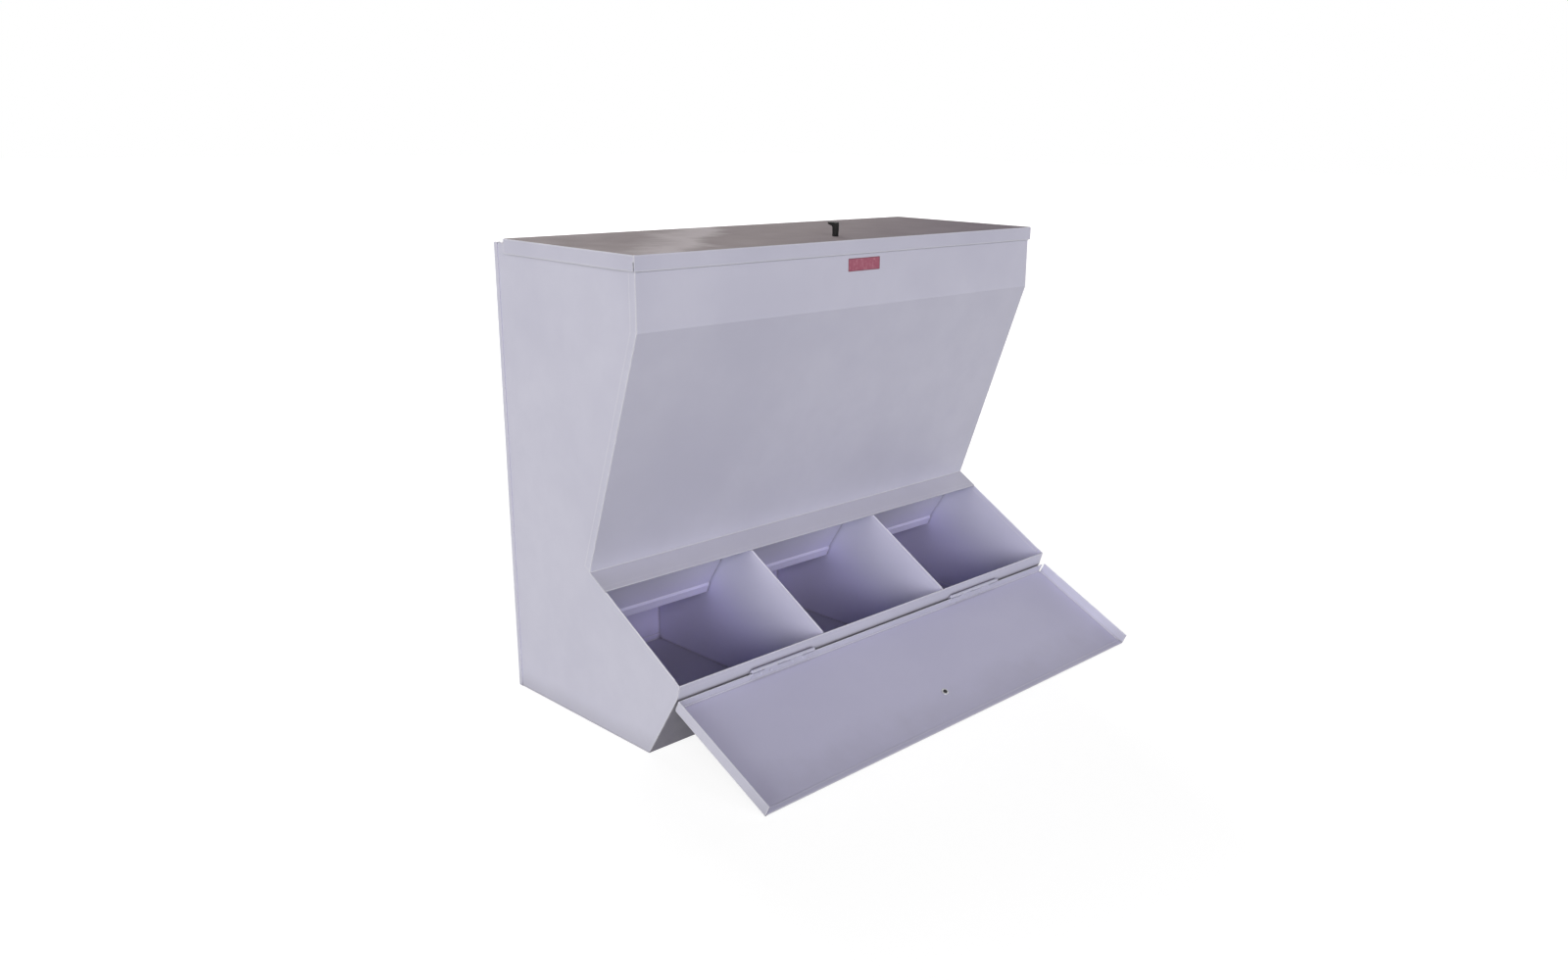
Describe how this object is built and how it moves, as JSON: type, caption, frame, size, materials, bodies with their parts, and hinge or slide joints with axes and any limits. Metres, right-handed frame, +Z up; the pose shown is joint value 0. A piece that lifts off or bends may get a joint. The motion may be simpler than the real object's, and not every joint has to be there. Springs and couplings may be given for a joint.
{
  "type": "feed bin",
  "caption": "Painted sheet-steel feed bin with a lidded hopper, sloping front, baffled scoop compartments and a drop-down door.",
  "frame": {"origin": "middle of the floor pan's underside, on the ground", "axes": "+X to the right seen from the front, +Y to the back, +Z up"},
  "size_m": [1.2284, 0.8497, 1.0451],
  "materials": {
    "paint": "light lavender-grey semi-gloss powder coat",
    "hinge_steel": "plain steel painted with the bin, worn at the knuckles",
    "black_plastic": "moulded black plastic",
    "black_steel": "blackened screw",
    "bright_steel": "zinc-plated washer",
    "label": "plain crimson label"
  },
  "bodies": {
    "cabinet": {"left_side_panel": "paint", "right_side_panel": "paint", "back_panel": "paint", "bottom_panel": "paint", "front_panel": "paint", "trough_panel": "paint", "left_divider": "paint", "right_divider": "paint", "left_baffle": "paint", "centre_baffle": "paint", "right_baffle": "paint", "label_plate": "label", "door_hinge_left_fixed_leaf": "hinge_steel", "door_hinge_right_fixed_leaf": "hinge_steel", "door_hinge_left_pin": "hinge_steel", "door_hinge_right_pin": "hinge_steel", "cabinet_rivets": "hinge_steel", "lid_hinge_left_fixed_leaf": "hinge_steel", "lid_hinge_right_fixed_leaf": "hinge_steel", "lid_hinge_left_pin": "hinge_steel", "lid_hinge_right_pin": "hinge_steel"},
    "door": {"door_pan": "paint", "door_hinge_left_door_leaf": "hinge_steel", "door_hinge_right_door_leaf": "hinge_steel", "door_rivets": "hinge_steel", "door_pull": "black_plastic", "door_pull_screw": "black_steel", "door_pull_washer": "bright_steel"},
    "lid": {"lid_pan": "paint", "lid_hinge_left_lid_leaf": "hinge_steel", "lid_hinge_right_lid_leaf": "hinge_steel", "lid_pull": "black_plastic", "lid_pull_screw": "black_steel", "lid_pull_washer": "bright_steel"}
  },
  "joints": [
    {"name": "door_swing", "type": "hinge", "parent": "cabinet", "child": "door", "pos_m": [0, -0.34266, 0.15462], "axis": [-1, 0, 0], "range_deg": [0, 175.89]},
    {"name": "lid_swing", "type": "hinge", "parent": "cabinet", "child": "lid", "pos_m": [0, 0.202, 1.0088], "axis": [-1, 0, 0], "range_deg": [0, 100]}
  ]
}
